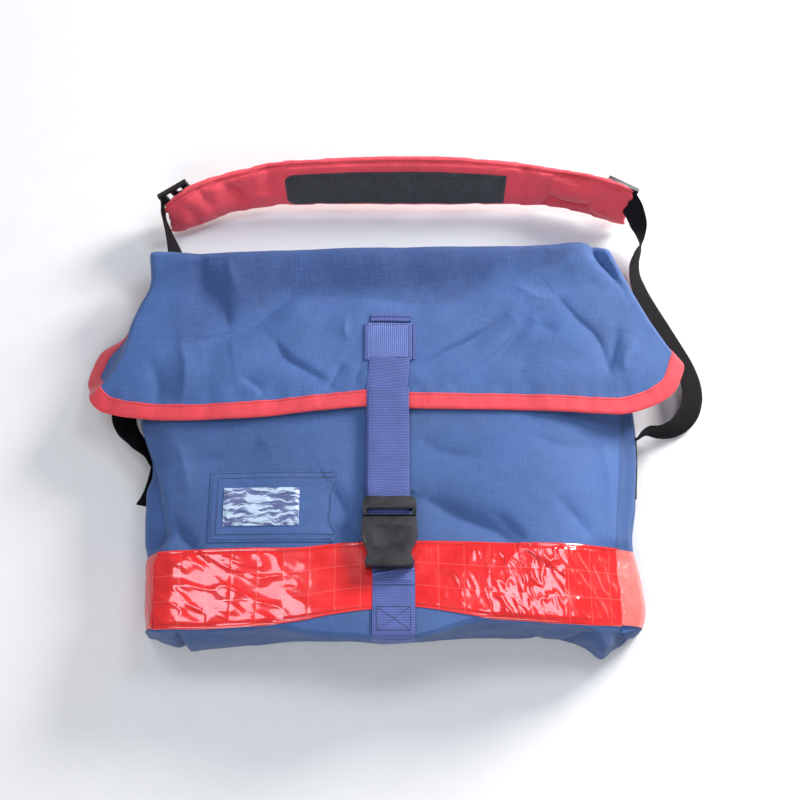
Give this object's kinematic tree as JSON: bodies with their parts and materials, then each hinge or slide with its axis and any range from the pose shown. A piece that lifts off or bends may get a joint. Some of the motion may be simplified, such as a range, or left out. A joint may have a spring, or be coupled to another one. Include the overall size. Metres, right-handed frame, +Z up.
{
  "type": "mail sack",
  "caption": "Carrier's shoulder sack with a fold-over flap, side-release closure, reflective band, card pocket and padded shoulder strap, lying closed on its back.",
  "frame": {"origin": "centre of the back panel's resting face, on the floor", "axes": "+Z up from the floor, +Y from the base towards the fold of the flap, +X to the right as seen from above the front"},
  "size_m": [0.5767, 0.4904, 0.0829],
  "materials": {
    "proofed_cloth": "tight plain-weave proofed cloth, creased and slightly scuffed",
    "binding_tape": "folded binding tape with a stitch line",
    "reflective_vinyl": "glossy crinkled vinyl with a square weld grid",
    "clear_vinyl": "clear wrinkled film",
    "navy_webbing": "ribbed webbing",
    "black_webbing": "ribbed webbing",
    "moulded_black": "fine satin moulding, worn on its high faces",
    "pad_cloth": "plain-weave cloth, puckered at its seams",
    "pad_foam": "closed-cell foam",
    "grip_cloth": "dull coated grip cloth"
  },
  "bodies": {
    "bag": {"back_panel": "proofed_cloth", "front_panel": "proofed_cloth", "base_panel": "proofed_cloth", "left_gusset": "proofed_cloth", "right_gusset": "proofed_cloth", "top_panel": "proofed_cloth", "mouth_hem": "proofed_cloth", "reflective_band": "reflective_vinyl", "band_left_wrap": "reflective_vinyl", "band_right_wrap": "reflective_vinyl", "id_pocket": "proofed_cloth", "id_window": "clear_vinyl", "lower_strap": "navy_webbing", "left_strap_anchor": "black_webbing", "right_strap_anchor": "black_webbing", "webbing_tail_left": "black_webbing"},
    "flap": {"flap_panel": "proofed_cloth", "flap_binding": "binding_tape", "strap_anchor_patch": "navy_webbing", "strap_fold_bar": "navy_webbing"},
    "closure_strap": {"closure_strap": "navy_webbing", "closure_strap_tail": "navy_webbing"},
    "plug": {"plug_frame": "moulded_black"},
    "prong_left": {"plug_prong_left": "moulded_black"},
    "prong_right": {"plug_prong_right": "moulded_black"},
    "receptacle": {"buckle_receptacle": "moulded_black"},
    "shoulder_pad": {"pad_cover": "pad_cloth", "pad_foam": "pad_foam", "pad_grip_patch": "grip_cloth", "pad_loop_left": "black_webbing", "pad_loop_right": "black_webbing", "shoulder_webbing_left": "black_webbing", "shoulder_webbing_right": "black_webbing"},
    "ladder_left": {"ladder_lock_left": "moulded_black"},
    "ladder_right": {"ladder_lock_right": "moulded_black"}
  },
  "joints": [
    {"name": "flap_fold", "type": "hinge", "parent": "bag", "child": "flap", "pos_m": [0, 0.19, 0.048], "axis": [-1, 0, 0], "range_deg": [0, 150]},
    {"name": "strap_lift", "type": "hinge", "parent": "flap", "child": "closure_strap", "pos_m": [-0.003, 0.074, 0.06037], "axis": [-1, 0, 0], "range_deg": [0, 100]},
    {"name": "plug_slide", "type": "slide", "parent": "closure_strap", "child": "plug", "axis": [0, 0.9972, -0.0745], "range_m": [0, 0.045], "deforming": ["closure_strap", "closure_strap_tail"]},
    {"name": "prong_left_squeeze", "type": "hinge", "parent": "plug", "child": "prong_left", "pos_m": [-0.017, -0.08638, 0.07348], "axis": [0, 0.0745, 0.9972], "range_deg": [0, 6], "stiffness_Nm_per_rad": 0.2, "deforming": ["plug_prong_left"]},
    {"name": "prong_right_squeeze", "type": "hinge", "parent": "plug", "child": "prong_right", "pos_m": [0.011, -0.08638, 0.07348], "axis": [0, -0.0745, -0.9972], "range_deg": [0, 6], "stiffness_Nm_per_rad": 0.2, "deforming": ["plug_prong_right"]},
    {"name": "receptacle_swing", "type": "hinge", "parent": "bag", "child": "receptacle", "pos_m": [-0.003, -0.13085, 0.0769], "axis": [1, 0, 0], "range_deg": [0, 90]},
    {"name": "shoulder_swing", "type": "hinge", "parent": "bag", "child": "shoulder_pad", "pos_m": [0, 0.005, 0.025], "axis": [1, 0, 0], "range_deg": [0, 150], "deforming": ["shoulder_webbing_left", "shoulder_webbing_right"]},
    {"name": "ladder_left_tilt", "type": "hinge", "parent": "shoulder_pad", "child": "ladder_left", "pos_m": [-0.19836, 0.26722, 0.03875], "axis": [0.0843, -0.3315, -0.9397], "range_deg": [0, 35]},
    {"name": "ladder_right_tilt", "type": "hinge", "parent": "shoulder_pad", "child": "ladder_right", "pos_m": [0.20836, 0.26722, 0.03875], "axis": [0.0843, 0.3315, 0.9397], "range_deg": [0, 35]}
  ]
}
